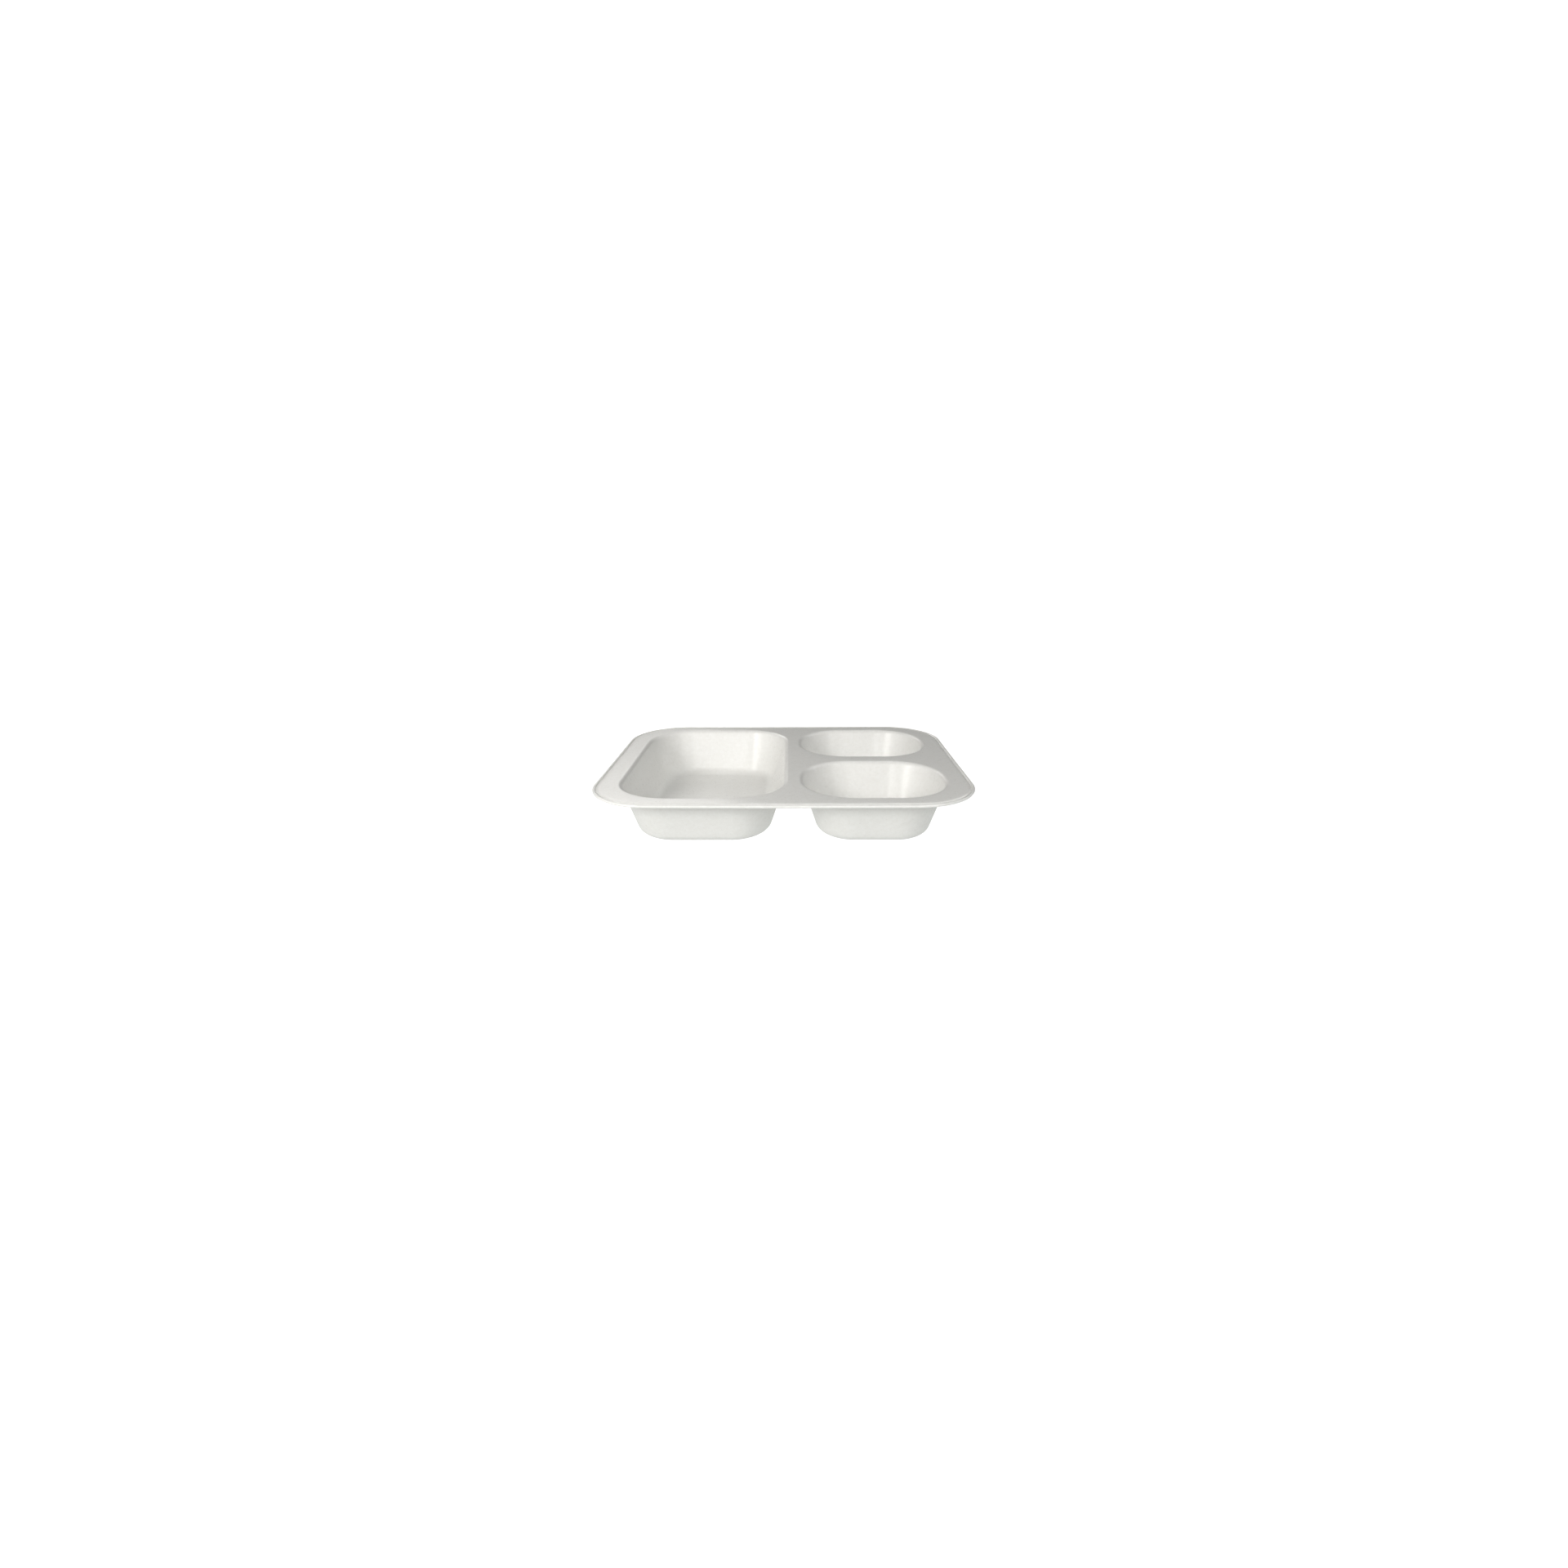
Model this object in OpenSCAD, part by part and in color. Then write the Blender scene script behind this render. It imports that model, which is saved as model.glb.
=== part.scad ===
// Three-compartment meal tray, moulded in one piece from thin white sheet.
// Millimetres, +Z up. The origin is the centre of the base, at the level that the basins rest on.
// X runs along the tray, with the main basin on the -X side and the two side basins on the +X side.
// The one moulding is divided into named regions that meet face to face on its flat stretches.

/* [Tray] */
// Overall length along X
tray_l = 227; // [190:1:280]
// Overall width along Y
tray_w = 178; // [148:1:220]
// Radius of the tray's outer corners, seen from above
tray_corner_r = 38; // [32:1:46]
// Thickness of the moulded sheet
sheet_t = 0.7; // [0.5:0.05:1]

/* [Basins] */
// Depth of every basin, from the top of the deck to the top of its floor
basin_depth = 31.5; // [25:0.5:38]
// Opening length of the main basin along X
main_l = 103; // [85:1:126]
// Deck between the tray's edge and the openings at the +X and -X ends
end_margin = 13.5; // [10:0.5:16]
// Deck between the tray's edge and the openings at the front and back
side_margin = 11; // [10:0.5:17]
// Deck between the main basin and the side basins
main_web = 6.5; // [5:0.5:12]
// Deck between the two side basins
side_web = 9; // [5:0.5:14]
// Radius of the openings' corners, seen from above
basin_corner_r = 33; // [27:0.5:38]
// Lean of the basin walls away from vertical, in degrees
wall_draft = 18; // [8:0.5:22]
// Radius where the deck rolls over into a wall
brim_r = 3; // [1.5:0.25:4]
// Radius inside a basin where a wall meets the floor
floor_r = 7; // [4:0.5:9]

/* [Rim] */
// Radius of the shoulder where the deck turns down towards the rolled edge
shoulder_r = 8; // [6:0.5:9]
// How far the shoulder turns down, in degrees
shoulder_turn = 25; // [18:1:30]
// Width of the rolled edge
roll_w = 2.4; // [2.2:0.1:3]
// Height of the rolled edge
roll_h = 1.9; // [1.6:0.1:2.1]

/* [Regions] */
// Flat strip that a curved region keeps beyond its last curve
flat_joint = 1; // [0.5:0.1:1.5]

/* [Hidden] */
$fn = 96;
sheet_colour = [0.92, 0.92, 0.9];

// Shortest straight stretch left between two corners of an opening
least_run = 2;

// Heights of the deck's top and of a basin floor's top
floor_top = sheet_t;
deck_top = floor_top + basin_depth;

// Sizes of the openings that follow from the tray, its margins and its webs
basin_w = tray_w - 2 * side_margin;
side_l = tray_l - 2 * end_margin - main_l - main_web;
side_w = (basin_w - side_web) / 2;

// Centres of the openings
main_x = -tray_l / 2 + end_margin + main_l / 2;
side_x = tray_l / 2 - end_margin - side_l / 2;
side_y = (side_w + side_web) / 2;

// Drop of the straight, leaning stretch of a wall, and how far the whole wall steps in from its opening
straight_drop = basin_depth - (brim_r + floor_r) * (1 - sin(wall_draft));
wall_step = (brim_r + floor_r) * cos(wall_draft) + straight_drop * tan(wall_draft);

// A seam's distance from its opening or edge is a whole number of hundredths, so both regions end on one plane
function seam_at(x) = ceil(100 * x) / 100;

// Where a wall's region ends and its floor's region begins, measured in from the opening
floor_seam = seam_at(wall_step + flat_joint);

// The shoulder ends inside the rolled edge. Its axis lies below the deck, at this distance in from the tray's edge.
shoulder_x = seam_at(roll_w - roll_h / 2 + (shoulder_r - sheet_t / 2) * sin(shoulder_turn));
rim_w = shoulder_x + flat_joint;

// Height of the rolled edge's middle, from the deck's top
roll_y = (shoulder_r - sheet_t / 2) * cos(shoulder_turn) - shoulder_r;

// How far a straight wall line passes inside the arcs at its two ends, so that they cross cleanly
line_bite = 0.002;

// Radius of an opening's corners, limited by the size of the opening
function opening_r(l, w) = min(basin_corner_r, (min(l, w) - least_run) / 2);

// Rectangle with round corners, centred on the origin
module rounded_rect(l, w, r) {
    square([l - 2 * r, w], center = true);
    square([l, w - 2 * r], center = true);
    for (x = [-1, 1], y = [-1, 1])
        translate([x * (l / 2 - r), y * (w / 2 - r)])
            circle(r);
}

// Carries a section around a rounded rectangle. The section's X is its distance from the corner axes.
module ring_around(l, w, r) {
    for (k = [0 : 3]) {
        half = (k % 2 == 0 ? l : w) / 2 - r;
        run = (k % 2 == 0 ? w : l) - 2 * r;
        rotate([0, 0, 90 * k])
            translate([half, run / 2, 0]) {
                rotate([90, 0, 0])
                    linear_extrude(run)
                        children();
                rotate_extrude(angle = 90)
                    children();
            }
    }
}

// Space over a face that lies some way below the sheet's top face, from the deck in to the floor.
// X runs in from the edge of the opening and Y is measured from the deck's top.
module space_over(below) {
    headroom = 1;
    lean = [cos(wall_draft), sin(wall_draft)];
    brim_c = [0, -brim_r];
    floor_c = [wall_step, floor_r - basin_depth];
    brim_arc_r = brim_r - below;
    floor_arc_r = floor_r + below;
    translate([-flat_joint, -below])
        square([flat_joint, headroom + below]);
    difference() {
        polygon([
            [0, headroom],
            brim_c,
            brim_c + (brim_arc_r - line_bite) * lean,
            floor_c - (floor_arc_r - line_bite) * lean,
            floor_c,
            [floor_seam, floor_c[1]],
            [floor_seam, headroom]
        ]);
        translate(brim_c)
            circle(brim_arc_r);
    }
    translate(floor_c) {
        intersection() {
            circle(floor_arc_r);
            translate([-floor_arc_r, -floor_arc_r])
                square(floor_arc_r);
        }
        translate([0, -floor_arc_r])
            square([floor_seam - wall_step, floor_arc_r]);
    }
}

// Section of a basin wall, in the same directions as the space over it
module wall_section() {
    difference() {
        space_over(sheet_t);
        space_over(0);
    }
}

// Section of the rim: X runs in from the tray's outer edge, Y is measured from the deck's top
module rim_section() {
    end_r = roll_h / 2;
    reach = 2 * shoulder_r;
    translate([shoulder_x, -shoulder_r])
        intersection() {
            difference() {
                circle(shoulder_r);
                circle(shoulder_r - sheet_t);
            }
            polygon([[0, 0], [0, reach], [-reach * tan(shoulder_turn), reach]]);
        }
    translate([shoulder_x, -sheet_t])
        square([flat_joint, sheet_t]);
    translate([end_r, roll_y - end_r])
        square([roll_w - roll_h, roll_h]);
    for (x = [end_r, roll_w - end_r])
        translate([x, roll_y])
            circle(end_r);
}

// Wall all round one basin, from the deck down to the floor
module basin_wall(l, w) {
    r = opening_r(l, w);
    translate([0, 0, deck_top])
        ring_around(l, w, r)
            translate([r, 0])
                mirror([1, 0])
                    wall_section();
}

// Flat floor inside one basin's wall
module basin_floor(l, w) {
    linear_extrude(sheet_t)
        rounded_rect(l - 2 * floor_seam, w - 2 * floor_seam, opening_r(l, w) - floor_seam);
}

// Hole in the deck for one basin, outside the wall's own flat strip
module deck_hole(l, w) {
    rounded_rect(l + 2 * flat_joint, w + 2 * flat_joint, opening_r(l, w) + flat_joint);
}

module rolled_rim() {
    color(sheet_colour)
        translate([0, 0, deck_top])
            ring_around(tray_l, tray_w, tray_corner_r)
                translate([tray_corner_r, 0])
                    mirror([1, 0])
                        rim_section();
}

module deck() {
    color(sheet_colour)
        translate([0, 0, deck_top - sheet_t])
            linear_extrude(sheet_t)
                difference() {
                    rounded_rect(tray_l - 2 * rim_w, tray_w - 2 * rim_w, tray_corner_r - rim_w);
                    translate([main_x, 0])
                        deck_hole(main_l, basin_w);
                    for (y = [-side_y, side_y])
                        translate([side_x, y])
                            deck_hole(side_l, side_w);
                }
}

module main_basin_wall() {
    color(sheet_colour)
        translate([main_x, 0, 0])
            basin_wall(main_l, basin_w);
}

module main_basin_floor() {
    color(sheet_colour)
        translate([main_x, 0, 0])
            basin_floor(main_l, basin_w);
}

module side_basin_wall(y) {
    color(sheet_colour)
        translate([side_x, y, 0])
            basin_wall(side_l, side_w);
}

module side_basin_floor(y) {
    color(sheet_colour)
        translate([side_x, y, 0])
            basin_floor(side_l, side_w);
}

rolled_rim();
deck();
main_basin_wall();
main_basin_floor();
side_basin_wall(-side_y);  // front_side_basin_wall
side_basin_floor(-side_y);  // front_side_basin_floor
side_basin_wall(side_y);  // rear_side_basin_wall
side_basin_floor(side_y);  // rear_side_basin_floor
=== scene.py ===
"""A white three-compartment meal tray: one moulding of thin sheet, as eight meshes that ride on the frame."""
import math

import bmesh
import bpy
from mathutils import Matrix, Vector, noise
from mathutils.geometry import delaunay_2d_cdt


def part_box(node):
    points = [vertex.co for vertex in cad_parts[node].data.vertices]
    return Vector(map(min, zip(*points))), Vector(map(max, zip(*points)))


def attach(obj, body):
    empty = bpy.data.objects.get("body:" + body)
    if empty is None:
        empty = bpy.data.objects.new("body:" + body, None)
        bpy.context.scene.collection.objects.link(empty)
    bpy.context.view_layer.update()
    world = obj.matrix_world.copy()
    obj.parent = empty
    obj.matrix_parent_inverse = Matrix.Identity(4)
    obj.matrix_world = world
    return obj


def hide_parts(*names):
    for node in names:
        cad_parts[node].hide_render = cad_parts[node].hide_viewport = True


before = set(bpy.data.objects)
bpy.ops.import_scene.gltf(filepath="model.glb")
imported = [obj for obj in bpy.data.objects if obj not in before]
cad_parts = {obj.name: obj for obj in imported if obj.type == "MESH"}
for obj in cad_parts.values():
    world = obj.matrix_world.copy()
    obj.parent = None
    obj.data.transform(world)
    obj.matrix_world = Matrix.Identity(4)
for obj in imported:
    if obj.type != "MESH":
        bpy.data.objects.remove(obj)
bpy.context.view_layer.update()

MM = 0.001

# ---- Sizes taken from the frame ----
deck_low, deck_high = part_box("deck")
rim_low, rim_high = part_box("rolled_rim")
DECK_TOP = deck_high.z
SHEET = deck_high.z - deck_low.z
HALF_TRAY = Vector((rim_high.x, rim_high.y))
RIM_W = rim_high.x - deck_high.x
ROLL_BOTTOM = rim_low.z - DECK_TOP

# ---- Sizes of the section, which the boxes don't give ----
TRAY_R = 38 * MM
OPENING_R = 33 * MM
FLAT = 1 * MM
WALL_LEAN = math.radians(18)
BRIM_R = 3 * MM
FLOOR_R = 7 * MM
SHOULDER_R = 8 * MM
ROLL_W = 2.4 * MM
ROLL_H = 1.9 * MM

# ---- The creases where the sheet meets the rolled edge ----
# Rounding of the upper and the lower one
CREASE_R = 0.15 * MM
# How far the upper one is pressed in, and how far from it the sheet follows
CREASE_PRESS = 0.5 * MM
CREASE_SPREAD = 0.55 * MM

# ---- How finely the meshes are divided ----
CORNER_STEPS = 40
STRAIGHT_STEP = 3 * MM
PLATE_STEP = 2 * MM
# Nearest that a point inside a plate comes to its edges
PLATE_GAP = 0.8 * MM
WALL_STEPS = 12
BRIM_STEPS = 10
FILLET_STEPS = 14
SHOULDER_STEPS = 14
CREASE_STEPS = 5
ROLL_STEPS = 12
UNDER_ROLL_STEPS = 8
UNDER_SHOULDER_STEPS = 10
# Faces that meet at more than this angle keep a sharp edge
SHARP_ANGLE = math.radians(40)

# ---- How far the real sheet is from perfect ----
FLANGE_WARP = 0.25 * MM
# Each row is how many noise cells there are to a metre, and how far they move the sheet
WAVES = ((30, 0.05 * MM), (130, 0.012 * MM))
# Without a seed the waves would start from the clock and differ from run to run
WAVE_SEED = 5
noise.seed_set(WAVE_SEED)

# ---- The large basin's floor rises slightly to the left and right of the lines through its corner axes ----
main_low, main_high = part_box("main_basin_wall")
MAIN_CENTRE = (main_low.x + main_high.x) / 2
MAIN_FOLD = (main_high.x - main_low.x) / 2 - FLAT - OPENING_R
FLOOR_TILT = 0.035

# Points closer than this are one point, along a section and in a plate
SAME_POINT = 0.001 * MM
SAME_SPOT = 0.0001 * MM

BASINS = ("main_basin", "front_side_basin", "rear_side_basin")


# ---- Outlines and sections ----
def arc(centre, radius, start, end, steps):
    """Points along an arc from one angle to another, in degrees."""
    angles = [math.radians(start + (end - start) * k / steps) for k in range(steps + 1)]
    return [Vector((centre[0] + radius * math.cos(a), centre[1] + radius * math.sin(a))) for a in angles]


def angle_of(point, centre):
    """Direction from a centre to a point, in degrees."""
    return math.degrees(math.atan2(point[1] - centre[1], point[0] - centre[0]))


def line(start, end, steps):
    """Points strictly between two ends."""
    return [Vector(start).lerp(Vector(end), k / steps) for k in range(1, steps)]


def places_round(centre, half, radius):
    """Places round a rounded rectangle: a point on its corner axes and the outward direction there."""
    inner = Vector((half.x - radius, half.y - radius))
    signs = ((1, 1), (-1, 1), (-1, -1), (1, -1))
    places = []
    for corner, (sx, sy) in enumerate(signs):
        axis = centre + Vector((sx * inner.x, sy * inner.y))
        for step in range(CORNER_STEPS + 1):
            turn = math.pi / 2 * (corner + step / CORNER_STEPS)
            places.append((axis, Vector((math.cos(turn), math.sin(turn)))))
        next_x, next_y = signs[(corner + 1) % 4]
        next_axis = centre + Vector((next_x * inner.x, next_y * inner.y))
        runs = max(1, round((next_axis - axis).length / STRAIGHT_STEP))
        places += [(axis.lerp(next_axis, k / runs), places[-1][1]) for k in range(1, runs)]
    return places


def outline(places, reach):
    """The outline at one distance out from the corner axes."""
    return [axis + way * reach for axis, way in places]


def wall_face(depth, step, below):
    """One face of a basin wall, from the deck in to the floor: distance in from the opening, height."""
    lean = math.degrees(WALL_LEAN)
    floor_centre = (step, FLOOR_R - depth)
    brim = arc((0, -BRIM_R), BRIM_R - below, 90, lean, BRIM_STEPS)
    fillet = arc(floor_centre, FLOOR_R + below, 180 + lean, 270, FILLET_STEPS)
    return brim + line(brim[-1], fillet[0], WALL_STEPS) + fillet


def wall_section(depth, seam):
    """Closed section of a basin wall, whose two ends are the seams with the deck and the floor."""
    drop = depth - (BRIM_R + FLOOR_R) * (1 - math.sin(WALL_LEAN))
    step = (BRIM_R + FLOOR_R) * math.cos(WALL_LEAN) + drop * math.tan(WALL_LEAN)
    top = [Vector((-FLAT, 0))] + wall_face(depth, step, 0) + [Vector((seam, -depth))]
    under = [Vector((-FLAT, -SHEET))] + wall_face(depth, step, SHEET) + [Vector((seam, -depth - SHEET))]
    return top + under[::-1]


def meeting(centre_a, radius_a, centre_b, radius_b):
    """The point where two circles meet, on the right of the way from the first centre to the second."""
    apart = (centre_b - centre_a).length
    along = (apart**2 + radius_a**2 - radius_b**2) / (2 * apart)
    across = math.sqrt(radius_a**2 - along**2)
    way = (centre_b - centre_a) / apart
    return centre_a + way * along + Vector((way.y, -way.x)) * across


def rim_section():
    """Closed section of the rim: distance in from the tray's edge, height above the deck.

    The deck turns down over a shoulder and ends in the rolled edge, with a small crease above and below."""
    end_r = ROLL_H / 2
    roll_y = ROLL_BOTTOM + end_r
    inner, outer = Vector((ROLL_W - end_r, roll_y)), Vector((end_r, roll_y))
    shoulder = Vector((RIM_W - FLAT, -SHOULDER_R))
    under_r = SHOULDER_R - SHEET
    crease = meeting(shoulder, SHOULDER_R + CREASE_R, inner, end_r + CREASE_R)
    hollow = meeting(shoulder, under_r - CREASE_R, inner, end_r + CREASE_R)

    upper = arc(shoulder, SHOULDER_R, 90, angle_of(crease, shoulder), SHOULDER_STEPS)
    upper += arc(crease, CREASE_R, angle_of(shoulder, crease), angle_of(inner, crease), CREASE_STEPS)
    upper += arc(inner, end_r, angle_of(crease, inner), 90, CREASE_STEPS)
    for point in upper:
        point.y -= CREASE_PRESS * math.exp(-(((point.x - crease.x) / CREASE_SPREAD) ** 2))
    runs = [
        [Vector((RIM_W, 0))],
        upper,
        arc(outer, end_r, 90, 270, ROLL_STEPS),
        arc(inner, end_r, 270, 360 + angle_of(hollow, inner), UNDER_ROLL_STEPS),
        arc(hollow, CREASE_R, angle_of(inner, hollow), angle_of(hollow, shoulder), CREASE_STEPS),
        arc(shoulder, under_r, angle_of(hollow, shoulder), 90, UNDER_SHOULDER_STEPS),
        [Vector((RIM_W, -SHEET))],
    ]
    points = []
    for point in (p for run in runs for p in run):
        if not points or (point - points[-1]).length > SAME_POINT:
            points.append(point)
    return points


# ---- Meshes ----
def settled(point):
    """Where a point of the perfect tray lies on the real, slightly sprung sheet.

    At the base nothing moves except the left and right of the large basin's floor, which rise."""
    height = min(1.0, max(0.0, point.z / DECK_TOP))
    across, along = (point.x / HALF_TRAY.x) ** 2, (point.y / HALF_TRAY.y) ** 2
    warp = FLANGE_WARP * (2 * across * along - 0.5 * (across + along))
    moved = point + Vector((0, 0, warp * height**2))
    outside = abs(point.x - MAIN_CENTRE) - MAIN_FOLD
    if 0 < outside < OPENING_R:
        moved.z += FLOOR_TILT * outside * (1 - height) ** 2
    for pitch, size in WAVES:
        moved += noise.noise_vector(point * pitch) * size * height
    return moved


def piece_of(name, points, faces, node, material):
    """A mesh piece that stands for one CAD node and rides on the tray's one body."""
    mesh = bpy.data.meshes.new(name)
    mesh.from_pydata([settled(p) for p in points], [], faces)
    shape = bmesh.new()
    shape.from_mesh(mesh)
    bmesh.ops.recalc_face_normals(shape, faces=shape.faces)
    shape.to_mesh(mesh)
    shape.free()
    mesh.shade_smooth()
    mesh.set_sharp_from_angle(angle=SHARP_ANGLE)
    mesh.materials.append(material)
    piece = bpy.data.objects.new(name, mesh)
    bpy.context.scene.collection.objects.link(piece)
    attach(piece, "root")
    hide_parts(node)
    return piece


def swept(name, places, radius, section, node, material):
    """A closed section carried all round a rounded rectangle."""
    points = []
    for axis, way in places:
        for inset, height in section:
            spot = axis + way * (radius - inset)
            points.append(Vector((spot.x, spot.y, DECK_TOP + height)))
    turns, count = len(places), len(section)
    faces = []
    for i in range(turns):
        for j in range(count):
            here, there = i * count, (i + 1) % turns * count
            after = (j + 1) % count
            faces.append((here + j, there + j, there + after, here + after))
    return piece_of(name, points, faces, node, material)


def inside(point, centre, half, radius):
    """Whether a point lies inside a rounded rectangle."""
    over = [max(0.0, abs(point[k] - centre[k]) - (half[k] - radius)) for k in (0, 1)]
    return math.hypot(*over) < radius


def plate(name, rings, top, node, material):
    """A flat region of the sheet. The first ring is its edge and the others are holes in it.

    Each ring is (places, centre, half size, corner radius)."""
    loops = [outline(places, radius) for places, _, _, radius in rings]
    flat = [p for loop in loops for p in loop]
    edges, first = [], 0
    for loop in loops:
        edges += [(first + k, first + (k + 1) % len(loop)) for k in range(len(loop))]
        first += len(loop)

    def on_sheet(point, margin):
        _, centre, half, radius = rings[0]
        shrunk = half - Vector((margin, margin))
        if not inside(point, centre, shrunk, radius - margin):
            return False
        grow = Vector((margin, margin))
        return not any(inside(point, c, h + grow, r + margin) for _, c, h, r in rings[1:])

    _, centre, half, _ = rings[0]
    nx, ny = (int(size / PLATE_STEP) for size in half)
    for i in range(-nx, nx + 1):
        for j in range(-ny, ny + 1):
            spot = centre + Vector((i, j)) * PLATE_STEP
            if on_sheet(spot, PLATE_GAP):
                flat.append(spot)

    in_mm = [p / MM for p in flat]
    spots, _, triangles, _, _, _ = delaunay_2d_cdt(in_mm, edges, [], 0, SAME_SPOT / MM)
    spots = [Vector(p) * MM for p in spots]
    kept = []
    for triangle in triangles:
        middle = sum((spots[k] for k in triangle), Vector((0, 0))) / 3
        if on_sheet(middle, 0):
            kept.append(tuple(triangle))

    count = len(spots)
    points = [Vector((p.x, p.y, top)) for p in spots] + [Vector((p.x, p.y, top - SHEET)) for p in spots]
    sides = {}
    for triangle in kept:
        for k in range(3):
            a, b = triangle[k], triangle[(k + 1) % 3]
            if (b, a) in sides:
                del sides[(b, a)]
            else:
                sides[(a, b)] = True
    faces = kept + [tuple(count + k for k in reversed(t)) for t in kept]
    faces += [(b, a, count + a, count + b) for a, b in sides]
    return piece_of(name, points, faces, node, material)


# ---- Material ----
# Noise cells to a metre
TINT_GRAIN = 420
SHEEN_GRAIN = 900
FINE_GRAIN = 1500
BROAD_GRAIN = 260

# Heights of the bumps
FINE_BUMP = 0.012 * MM
BROAD_BUMP = 0.03 * MM

# The stretch of a noise's values that carries most of it
NOISE_LOW = 0.3
NOISE_HIGH = 0.7

DARKER_TINT = (0.800, 0.792, 0.762, 1)
LIGHTER_TINT = (0.850, 0.846, 0.822, 1)
SMOOTHEST = 0.26
ROUGHEST = 0.36
SHEET_IOR = 1.5


def ranged(tree, source, low, high, low_out, high_out):
    """A node's value carried from one range to another, and held at its ends."""
    node = tree.nodes.new("ShaderNodeMapRange")
    node.inputs["From Min"].default_value = low
    node.inputs["From Max"].default_value = high
    node.inputs["To Min"].default_value = low_out
    node.inputs["To Max"].default_value = high_out
    tree.links.new(source, node.inputs["Value"])
    return node.outputs["Result"]


def sheet_material():
    """Satin off-white moulded sheet with a fine mottled grain."""
    material = bpy.data.materials.new("white_sheet")
    material.use_nodes = True
    tree = material.node_tree
    shader = tree.nodes["Principled BSDF"]
    shader.inputs["IOR"].default_value = SHEET_IOR
    where = tree.nodes.new("ShaderNodeTexCoord")

    def grain(per_metre, detail, roughness):
        texture = tree.nodes.new("ShaderNodeTexNoise")
        texture.inputs["Scale"].default_value = per_metre
        texture.inputs["Detail"].default_value = detail
        texture.inputs["Roughness"].default_value = roughness
        tree.links.new(where.outputs["Object"], texture.inputs["Vector"])
        return texture.outputs["Fac"]

    def bump(source, height):
        node = tree.nodes.new("ShaderNodeBump")
        node.inputs["Distance"].default_value = height
        tree.links.new(source, node.inputs["Height"])
        return node

    tint = tree.nodes.new("ShaderNodeValToRGB")
    tint.color_ramp.elements[0].position = NOISE_LOW
    tint.color_ramp.elements[0].color = DARKER_TINT
    tint.color_ramp.elements[1].position = NOISE_HIGH
    tint.color_ramp.elements[1].color = LIGHTER_TINT
    tree.links.new(grain(TINT_GRAIN, 6, 0.65), tint.inputs["Fac"])
    tree.links.new(tint.outputs["Color"], shader.inputs["Base Color"])

    sheen = ranged(tree, grain(SHEEN_GRAIN, 4, 0.6), NOISE_LOW, NOISE_HIGH, SMOOTHEST, ROUGHEST)
    tree.links.new(sheen, shader.inputs["Roughness"])

    fine = bump(grain(FINE_GRAIN, 3, 0.55), FINE_BUMP)
    broad = bump(grain(BROAD_GRAIN, 3, 0.5), BROAD_BUMP)
    tree.links.new(broad.outputs["Normal"], fine.inputs["Normal"])
    tree.links.new(fine.outputs["Normal"], shader.inputs["Normal"])
    return material


# ---- The tray ----
def build_tray():
    """The rim, the deck with its three holes, and each basin's wall and floor."""
    material = sheet_material()
    middle = Vector((0, 0))
    rim_places = places_round(middle, HALF_TRAY, TRAY_R)
    swept("rolled_rim_shell", rim_places, TRAY_R, rim_section(), "rolled_rim", material)

    half_deck = Vector((deck_high.x, deck_high.y))
    deck_rings = [(rim_places, middle, half_deck, TRAY_R - RIM_W)]
    for basin in BASINS:
        wall_low, wall_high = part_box(basin + "_wall")
        floor_low, floor_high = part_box(basin + "_floor")
        centre = ((wall_low + wall_high) / 2).xy
        half_hole = ((wall_high - wall_low) / 2).xy
        half_opening = half_hole - Vector((FLAT, FLAT))
        half_floor = ((floor_high - floor_low) / 2).xy
        seam = half_opening.x - half_floor.x
        places = places_round(centre, half_opening, OPENING_R)
        section = wall_section(DECK_TOP - floor_high.z, seam)
        swept(basin + "_wall_shell", places, OPENING_R, section, basin + "_wall", material)
        floor_ring = (places, centre, half_floor, OPENING_R - seam)
        plate(basin + "_floor_panel", [floor_ring], floor_high.z, basin + "_floor", material)
        deck_rings.append((places, centre, half_hole, OPENING_R + FLAT))
    plate("deck_panel", deck_rings, DECK_TOP, "deck", material)


# ---- Stage, light and camera ----
STAGE_R = 6.0
STAGE_GLOW = 1.0
STAGE_TURNS = 64
FLOOR_BEND_STEPS = 12
DOME_STEPS = 16

# Brightness of the world light by direction
FROM_BELOW = 0.73
FROM_ABOVE_LEFT = 0.0
FROM_ABOVE_RIGHT = 0.33
WORLD_TINT = (0.98, 1.0, 0.98, 1)

WARM = (1.0, 0.985, 0.96)
PLAIN = (1.0, 1.0, 1.0)

# The camera: lens and sensor in millimetres, angles in degrees, and its place from the middle of the deck
LENS = 15.91
SENSOR = 36
PITCH = 18.71
YAW = -0.65
ROLL = -0.3
EYE = Vector((4.9, -443.9, 132.5)) * MM


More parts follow.
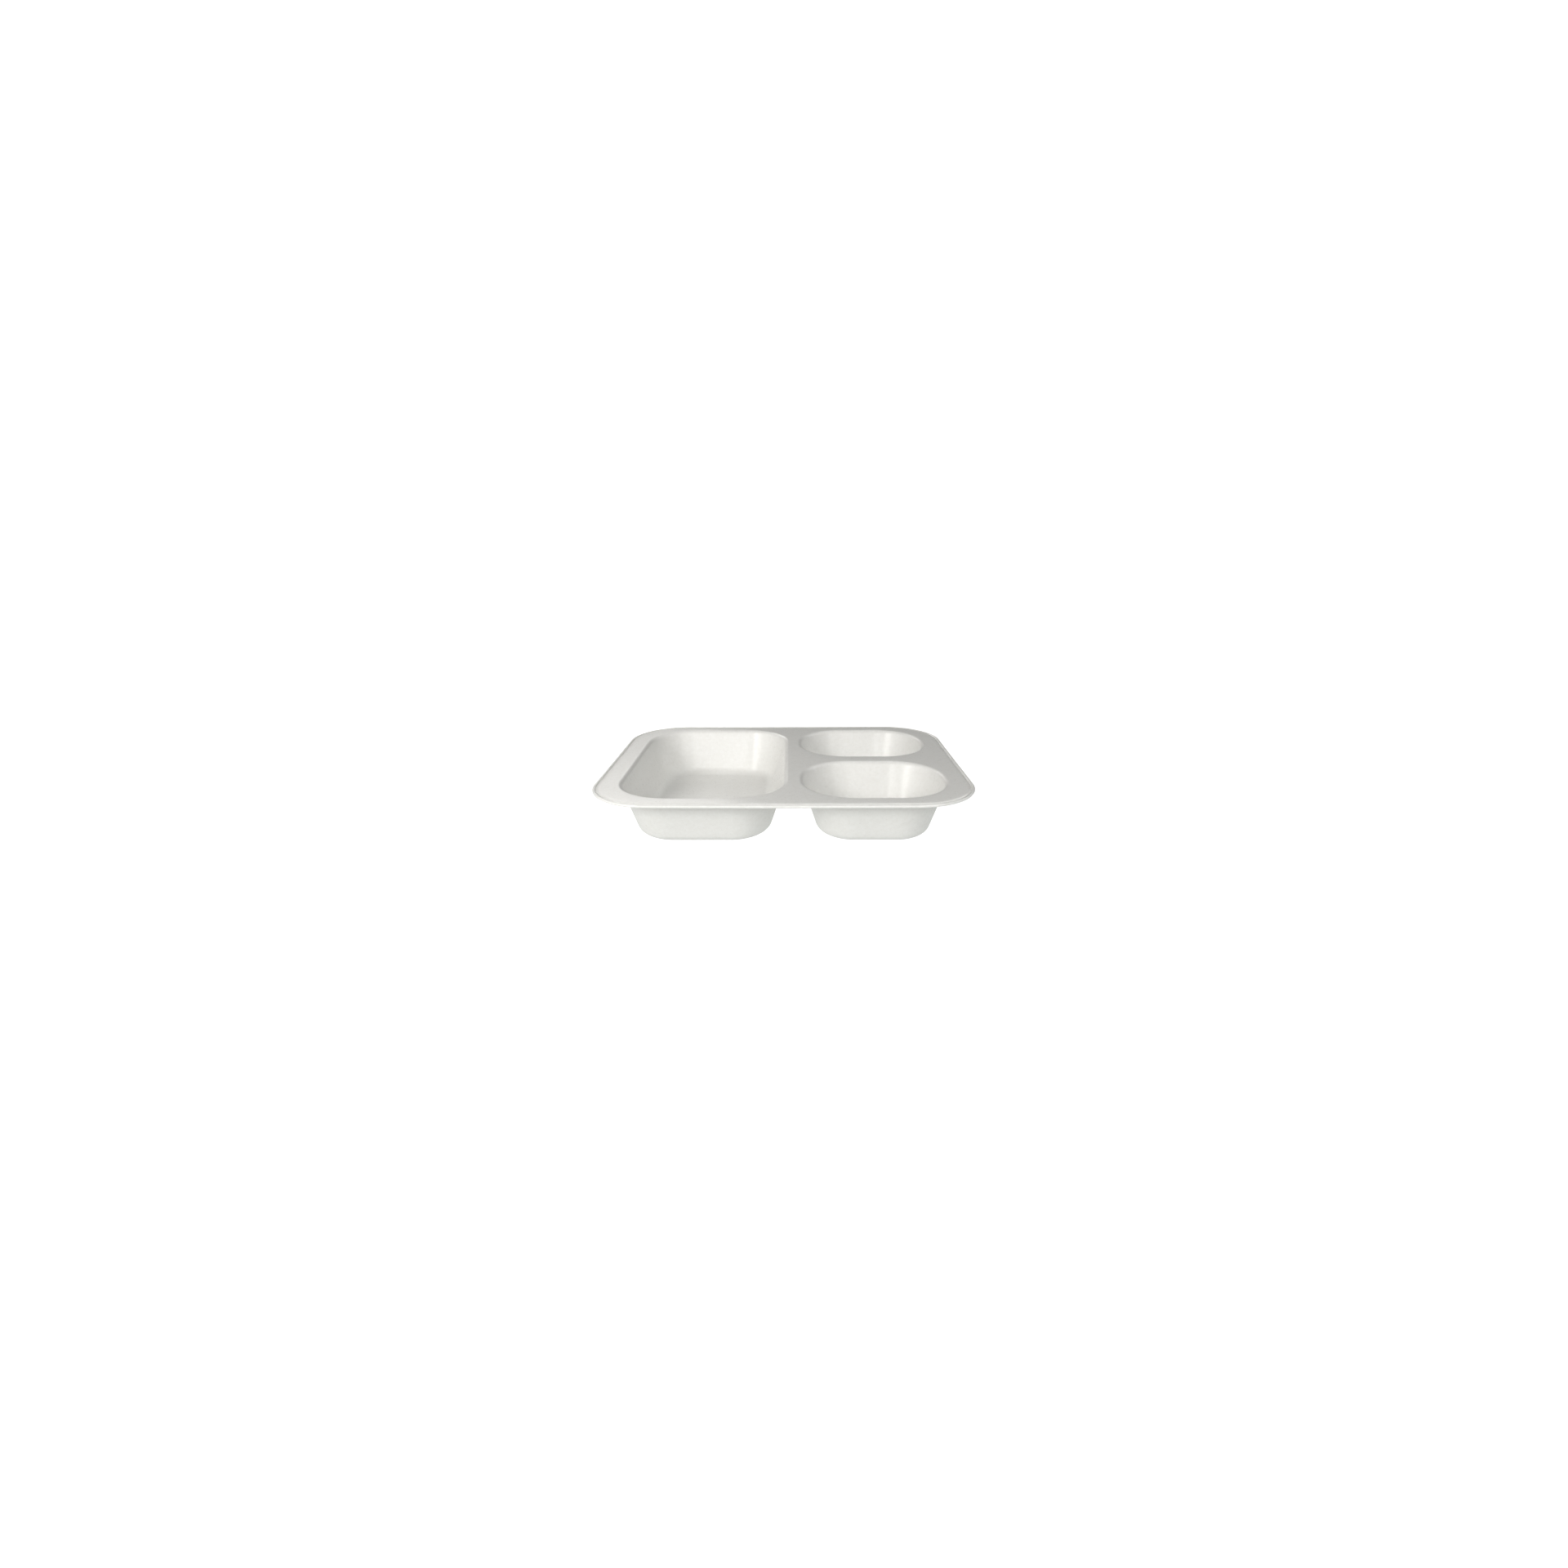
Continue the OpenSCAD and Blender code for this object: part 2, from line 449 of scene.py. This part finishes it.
def backdrop():
    """A plain pale floor that rises into a dome. It neither lights nor shades the tray: the world does."""
    profile = [Vector((0, 0)), Vector((STAGE_R / 2, 0))]
    profile += arc((STAGE_R / 2, STAGE_R / 2), STAGE_R / 2, -90, 0, FLOOR_BEND_STEPS)[1:]
    profile += arc((0, STAGE_R / 2), STAGE_R, 0, 90, DOME_STEPS)[1:]
    shape = bmesh.new()
    spine = [shape.verts.new((p.x, 0, p.y)) for p in profile]
    ribs = [shape.edges.new(pair) for pair in zip(spine, spine[1:])]
    around = {"axis": (0, 0, 1), "cent": (0, 0, 0), "angle": math.tau, "steps": STAGE_TURNS}
    bmesh.ops.spin(shape, geom=spine + ribs, **around)
    bmesh.ops.remove_doubles(shape, verts=shape.verts, dist=MM)
    mesh = bpy.data.meshes.new("studio_sweep")
    shape.to_mesh(mesh)
    shape.free()
    mesh.shade_smooth()
    material = bpy.data.materials.new("pale_floor")
    material.use_nodes = True
    shader = material.node_tree.nodes["Principled BSDF"]
    shader.inputs["Base Color"].default_value = (0.8, 0.8, 0.8, 1)
    shader.inputs["Roughness"].default_value = 0.9
    shader.inputs["Emission Color"].default_value = (1, 1, 1, 1)
    shader.inputs["Emission Strength"].default_value = STAGE_GLOW
    mesh.materials.append(material)
    sweep = bpy.data.objects.new("studio_sweep", mesh)
    bpy.context.scene.collection.objects.link(sweep)
    sweep.visible_diffuse = False
    sweep.visible_glossy = False
    sweep.visible_shadow = False


def bearing(azimuth, elevation):
    """Direction from the tray. Azimuth 0 is towards the front and grows to the right, in degrees."""
    a, e = math.radians(azimuth), math.radians(elevation)
    return Vector((math.sin(a) * math.cos(e), -math.cos(a) * math.cos(e), math.sin(e)))


def softbox(name, azimuth, elevation, distance, width, height, watts, colour):
    """A soft rectangular light aimed at the tray."""
    light = bpy.data.lights.new(name, "AREA")
    light.shape = "RECTANGLE"
    light.size, light.size_y = width, height
    light.energy = watts
    light.color = colour
    lamp = bpy.data.objects.new(name, light)
    lamp.location = Vector((0, 0, DECK_TOP)) + bearing(azimuth, elevation) * distance
    lamp.rotation_euler = bearing(azimuth, elevation).to_track_quat("Z", "Y").to_euler()
    lamp.visible_camera = False
    bpy.context.scene.collection.objects.link(lamp)


def world_light():
    """Light from all round: strong from below, none from the sides, and some from above on the right."""
    world = bpy.data.worlds.new("studio")
    bpy.context.scene.world = world
    world.use_nodes = True
    tree = world.node_tree
    where = tree.nodes.new("ShaderNodeTexCoord")
    way = tree.nodes.new("ShaderNodeSeparateXYZ")
    tree.links.new(where.outputs["Generated"], way.inputs["Vector"])

    def combined(operation, one, other):
        node = tree.nodes.new("ShaderNodeMath")
        node.operation = operation
        tree.links.new(one, node.inputs[0])
        tree.links.new(other, node.inputs[1])
        return node.outputs["Value"]

    below = ranged(tree, way.outputs["Z"], -0.05, 0.05, FROM_BELOW, 0)
    high_up = ranged(tree, way.outputs["Z"], 0.3, 0.7, 0, 1)
    by_side = ranged(tree, way.outputs["X"], -0.3, 0.3, FROM_ABOVE_LEFT, FROM_ABOVE_RIGHT)
    strength = combined("ADD", below, combined("MULTIPLY", high_up, by_side))
    background = tree.nodes["Background"]
    tree.links.new(strength, background.inputs["Strength"])
    background.inputs["Color"].default_value = WORLD_TINT


def lights():
    """The world light and eight softboxes, each named after where it stands."""
    world_light()
    softbox("key_left", -40, 23, 1.0, 0.19, 0.26, 2.8, WARM)
    softbox("high_left", -50, 42, 1.0, 0.19, 0.26, 1.7, WARM)
    softbox("low_left", -50, 8, 1.0, 0.19, 0.26, 1.0, WARM)
    softbox("front", -3, 23, 1.0, 0.36, 0.26, 2.1, PLAIN)
    softbox("right", 35, 32, 1.0, 0.19, 0.45, 2.2, PLAIN)
    softbox("near_left", -80, 30, 0.6, 0.40, 0.40, 0.5, PLAIN)
    softbox("side_right", 110, 30, 1.0, 0.30, 0.30, 0.9, PLAIN)
    softbox("rear_left", -160, 28, 1.0, 0.40, 0.30, 1.3, WARM)


def camera():
    """The camera: a wide lens close to the tray, looking down at it from the front."""
    lens = bpy.data.cameras.new("camera")
    lens.sensor_width = SENSOR
    lens.lens = LENS
    lens.clip_start, lens.clip_end = 0.01, 50
    eye = bpy.data.objects.new("camera", lens)
    pitch, yaw, roll = math.radians(PITCH), math.radians(YAW), math.radians(ROLL)
    aim = Vector((math.sin(yaw) * math.cos(pitch), math.cos(yaw) * math.cos(pitch), -math.sin(pitch)))
    level = Vector((math.cos(yaw), -math.sin(yaw), 0))
    upright = level.cross(aim)
    right = level * math.cos(roll) + upright * math.sin(roll)
    up = upright * math.cos(roll) - level * math.sin(roll)
    place = EYE + Vector((0, 0, DECK_TOP))
    eye.matrix_world = Matrix.Translation(place) @ Matrix((right, up, -aim)).transposed().to_4x4()
    bpy.context.scene.collection.objects.link(eye)
    bpy.context.scene.camera = eye


camera()
build_tray()
backdrop()
lights()
bpy.context.scene.view_settings.view_transform = "Standard"
